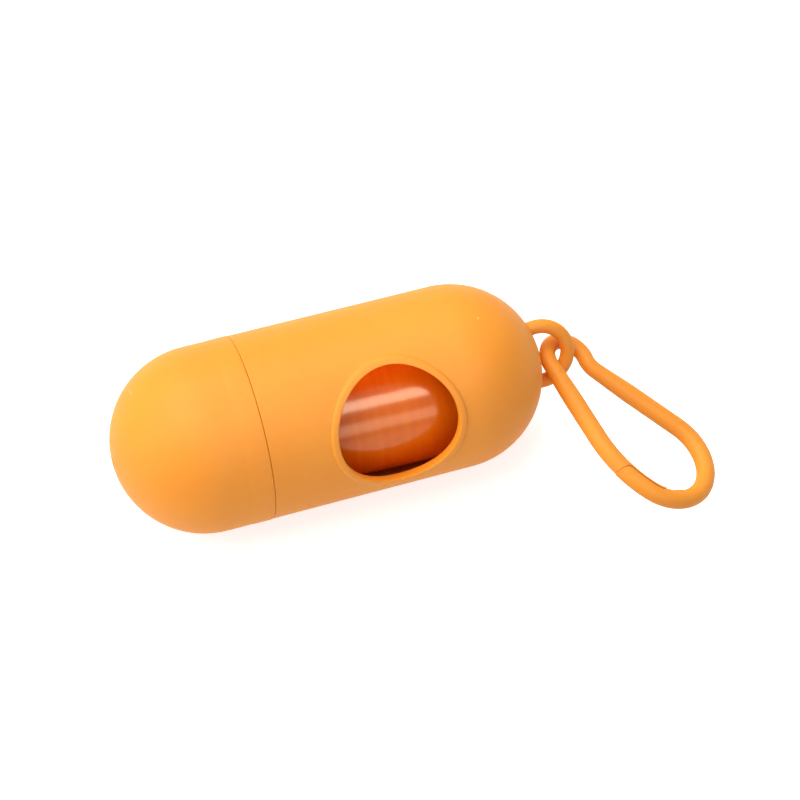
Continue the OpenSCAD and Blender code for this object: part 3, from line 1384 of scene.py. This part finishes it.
@dataclass
class GateWire:
    """The gate: flexing straight stretch, bow, and the tongue inside the nose."""

    plane: ClipPlane
    tongue_overrun: float = 44.0
    bend_len: float = 6.0
    # Rings of the taper, straight stretch, bow and tongue
    steps: Counts = (12, 24, 48, 28)

    def build(self) -> Piece:
        """Models the gate as one bent wire and returns it."""
        p = self.plane
        forth = p.way(-p.gate_slope)
        root = p.at(p.gate_start) + forth * p.root_len * MM
        wire = Wire("gate_wire", root, forth, p.root_r * MM, p.sides)
        wire.ridge(p.way(90 - p.gate_slope), p.parting * MM)
        wire.straight((p.taper - p.root_len) * MM, p.thick_r * MM, self.steps[0])
        wire.straight((p.gate_len - p.taper) * MM, p.thick_r * MM, self.steps[1])
        bow = p.bow_end_a + 90 + p.gate_slope
        wire.bend(p.at(p.bow), Z_AXIS, bow, self.steps[2])
        wire.bend(p.at(p.wide), Z_AXIS, self.tongue_overrun, self.steps[3])
        gate = wire.finish()
        cut_away(gate, p.lap_slab("tongue_cutter", -p.gap / 2, True))
        p.hang_up(gate, p.gate_rest)
        place = p.matrix()
        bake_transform(gate)
        return gate


# ---- Bag roll


@dataclass
class FilmRoll:
    """The wound film: a skin that falls off to both ends, and layered end faces."""

    mid: Triple = (-1.0942, 0.0, 16.9602)
    tilt: float = 2.55742
    half_len: float = 29.0
    outer_r: float = 13.5
    bore_r: float = 7.05
    edge_round: float = 1.2
    layers: int = 14
    layer_depth: float = 0.14
    layer_least: float = 0.4
    layer_beat: float = 2.3
    wave: float = 0.008
    wave_beats: Pairs = ((29.0, 0.0), (53.0, 1.0), (97.0, 0.0))
    shoulder_len: float = 9.0
    shoulder_drop: float = 1.6
    skin_steps: int = 96
    round_steps: int = 192
    edge_steps: int = 8
    bore_steps: int = 12

    def build(self) -> Piece:
        """Models the roll and returns it."""
        h, e = self.half_len, self.edge_round
        face_r = self.outer_r - self.shoulder_drop - e
        start = point(self.layer_depth - h, 0, self.bore_r)
        pen = Pen("film_roll", start, -Y_AXIS)
        self.layered(pen, -1, self.bore_r, face_r)
        pen.arc(point(e - h, 0, face_r), -90, self.edge_steps)
        for i in range(1, self.skin_steps + 1):
            share = i / self.skin_steps
            x = (e - h) + 2 * (h - e) * share
            pen.line(point(x, 0, self.outer_r - self.dent(share)))
        pen.arc(point(h - e, 0, face_r), -90, self.edge_steps)
        self.layered(pen, 1, face_r, self.bore_r)
        pen.line(start, self.bore_steps)
        roll = spin_outline(pen.finish(), point(0, 0, 0), X_AXIS, self.round_steps)
        roll.rotation_euler = (0, radians(self.tilt), 0)
        roll.location = point(*self.mid) + turned(roll.location, Y_AXIS, self.tilt)
        settle(roll, 40)
        return roll

    def dent(self, share: float) -> float:
        """Returns how far the skin lies in at a share of the roll's length."""
        inside = sin(pi * share)
        waves = sum(sin(beat * share + shift) for beat, shift in self.wave_beats)
        from_end = min(share, 1 - share) * 2 * (self.half_len - self.edge_round)
        fall = max(0.0, 1 - from_end / self.shoulder_len) ** 2 * self.shoulder_drop
        return self.wave * inside * (1 + waves / len(self.wave_beats)) / 2 + fall

    def layered(self, pen: Pen, side: int, r0: float, r1: float) -> None:
        """Draws an end face of film edges that lie in and out.

        Args:
            pen: the pen, which stands at the face's first radius.
            side: -1 or 1, the end of the roll.
            r0: first radius.
            r1: last radius.
        """
        count = 2 * self.layers
        for i in range(1, count + 1):
            r = r0 + (r1 - r0) * i / count
            swing = (1 - self.layer_least) * abs(sin(self.layer_beat * i))
            # Every other point lies on the flat face
            depth = self.layer_depth * (self.layer_least + swing) * (i % 2)
            pen.line(point(side * (self.half_len - depth), 0, r))


# ---- Stage


@dataclass(frozen=True)
class Panel:
    """A soft panel that faces the object.

    Attributes:
        name: the lamp's name.
        rise: height of its middle as seen from the object, in degrees.
        azimuth: direction of its middle, in degrees from +X.
        size: its width and height, in metres.
        glow: its brightness, where 1 is as bright as white paper in full light.
        lights_matt: false for a panel that is only seen as a reflection.
        distance: how far off it stands, in metres.
    """

    name: str
    rise: float
    azimuth: float
    size: Pair
    glow: float
    lights_matt: bool = True
    distance: float = 1.5

    def build(self) -> None:
        """Adds the panel."""
        lamp = add_lamp(self.name, self.size, self.glow)
        level = cos(radians(self.rise))
        way = Vector(
            (
                level * cos(radians(self.azimuth)),
                level * sin(radians(self.azimuth)),
                sin(radians(self.rise)),
            )
        )
        lamp.location = way * self.distance
        lamp.rotation_euler = facing(way)
        lamp.visible_diffuse = self.lights_matt


PANELS = (
    Panel("key_panel", 68.0, 140.0, (2.0, 1.6), 3.2),
    Panel("left_panel", 25.0, 188.0, (1.2, 1.0), 1.35),
    # These two show in the film and leave the shell's soft shading alone
    Panel("upper_strip", 55.0, -72.0, (0.55, 0.42), 10.0, False),
    Panel("front_strip", 18.0, -79.0, (0.6, 0.46), 3.2, False),
)


def add_lamp(name: str, size: Pair, glow: float) -> Piece:
    """Adds an area lamp that the camera doesn't see.

    Args:
        name: the lamp's name.
        size: its width and height, in metres.
        glow: its brightness, where 1 is as bright as white paper in full light.

    Returns:
        The lamp's object, at the origin and facing down.
    """
    lamp = bpy.data.lights.new(name, "AREA")
    lamp.shape = "RECTANGLE"
    lamp.size, lamp.size_y = size
    lamp.energy = glow * pi * size[0] * size[1]
    obj = bpy.data.objects.new(name, lamp)
    bpy.context.scene.collection.objects.link(obj)
    obj.visible_camera = False
    return obj


@dataclass
class Studio:
    """The floor, the soft lights and the camera."""

    camera_at: Triple = (-164.6, -570.2, 830.9)
    camera_right: Triple = (0.95358, -0.30113, 0.0)
    camera_up: Triple = (0.24286, 0.76905, 0.59125)
    lens_mm: float = 225.0
    sensor_mm: float = 36.0
    floor_half_m: float = 8.0
    # The clip can swing below the line on which the capsule lies, so past the
    # housing's end the floor falls away and hides none of it.
    edge_x: float = 46.0
    fall_w: float = 8.0
    fall_h: float = 17.0
    floor_colour: str = "#DCDCDC"
    floor_lift: float = 0.72
    fill: float = 0.38
    seep_at: Triple = (0.0, -3.0, 35.3)
    seep_size: Pair = (50.0, 10.0)
    seep_colour: str = "#FFC878"
    seep_glow: float = 0.9

    def build(self) -> None:
        """Sets the stage."""
        self.lay_floor()
        self.light_world()
        for panel in PANELS:
            panel.build()
        self.add_seep()
        self.place_camera()
        bpy.context.scene.view_settings.view_transform = "Standard"

    def lay_floor(self) -> None:
        """Adds the floor, which is white to the camera and keeps the shadow."""
        floor = primitive("studio_floor", "plane", size=2 * self.floor_half_m)
        for cut_x in (self.edge_x, self.edge_x + self.fall_w):
            edit_all()
            bpy.ops.mesh.bisect(plane_co=point(cut_x, 0, 0), plane_no=X_AXIS)
            leave_edit()
        for vertex in floor.data.vertices:
            if vertex.co.x > (self.edge_x + self.fall_w / 2) * MM:
                vertex.co.z -= self.fall_h * MM
        nodes = Nodes.of_material("matt_studio_paper")
        lift = nodes.add(
            "ShaderNodeMath",
            0,
            {"operation": "MULTIPLY", 1: self.floor_lift},
            {0: nodes.seen_ray()},
        )
        settings = {
            "Roughness": 0.9,
            "Specular IOR Level": 0.0,
            "Base Color": colour(self.floor_colour),
            "Emission Color": WHITE,
        }
        floor.data.materials.append(nodes.finish({"Emission Strength": lift}, settings))

    def light_world(self) -> None:
        """Gives the object an even fill in front of a white background."""
        world = bpy.data.worlds.new("studio")
        nodes = Nodes(world, "ShaderNodeBackground", "ShaderNodeOutputWorld")
        level = nodes.span(nodes.seen_ray(), (0.0, 1.0), (self.fill, 1.0))
        bpy.context.scene.world = nodes.finish({"Strength": level}, {"Color": WHITE})

    def add_seep(self) -> None:
        """Adds the light that comes through the translucent wall onto the roll.

        The renderer takes a wall that is seen by way of another surface for opaque, so
        this lamp under the wall stands in for what the key light sends through it.
        """
        width, height = self.seep_size
        lamp = add_lamp("wall_seep", (width * MM, height * MM), self.seep_glow)
        lamp.data.color = colour(self.seep_colour)[:3]
        lamp.location = point(*self.seep_at)
        lamp.visible_glossy = False

    def place_camera(self) -> None:
        """Adds the camera at the photograph's viewing angle."""
        right, up = Vector(self.camera_right), Vector(self.camera_up)
        turn = Matrix((right, up, right.cross(up))).transposed()
        data = bpy.data.cameras.new("camera")
        data.lens = self.lens_mm
        data.sensor_width = self.sensor_mm
        data.sensor_fit = "HORIZONTAL"
        camera = bpy.data.objects.new("camera", data)
        camera.matrix_world = Matrix.Translation(point(*self.camera_at)) @ turn.to_4x4()
        bpy.context.scene.collection.objects.link(camera)
        bpy.context.scene.camera = camera


def threads(shape: Capsule) -> tuple["ScrewThread", "ScrewThread"]:
    """Returns the neck's thread and the cap's, which lies half a pitch beside it."""
    start_x = -25.02
    neck = ScrewThread(shape, "neck_thread", 16.5, 17.08, 0.25, 1.25, start_x)
    start_x -= neck.pitch / 2
    return neck, ScrewThread(shape, "cap_thread", 17.4, 16.82, 0.47, 1.1, start_x)


def main() -> None:
    """Builds the pieces in order, dresses them and sets the stage."""
    logging.basicConfig(level=logging.INFO, format="%(name)s: %(message)s")
    finishes = (SHELL_FINISH, CLIP_FINISH, FILM_FINISH, CARD_FINISH)
    shell, clip, film, card = (finish.make() for finish in finishes)
    shape = Capsule()
    plane = ClipPlane()
    neck_thread, cap_thread = threads(shape)
    for piece, material, body, slot, nodes in (
        (HousingShell(shape), shell, Body.CASE, Slot.SHELL, ("housing",)),
        (WindowLip(shape), shell, Body.CASE, Slot.SHELL, ()),
        (EyeLoop(shape), shell, Body.CASE, Slot.SHELL, ("end_eye",)),
        (CapShell(shape), shell, Body.CAP, Slot.SHELL, ("screw_cap",)),
        (neck_thread, shell, Body.CASE, Slot.SHELL, ()),
        (cap_thread, shell, Body.CAP, Slot.SHELL, ()),
        (ClipWire(plane), clip, Body.CLIP, Slot.CLIP, ("clip_frame",)),
        (GateWire(plane), clip, None, Slot.CLIP, ("clip_gate",)),
        (FilmRoll(), film, Body.ROLL, Slot.FILM, ("bag_roll",)),
    ):
        dress(piece.build(), material, body, nodes)
    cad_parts["roll_core"].data.materials.clear()
    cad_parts["roll_core"].data.materials.append(card)
    Studio().build()


if __name__ == "__main__":
    main()
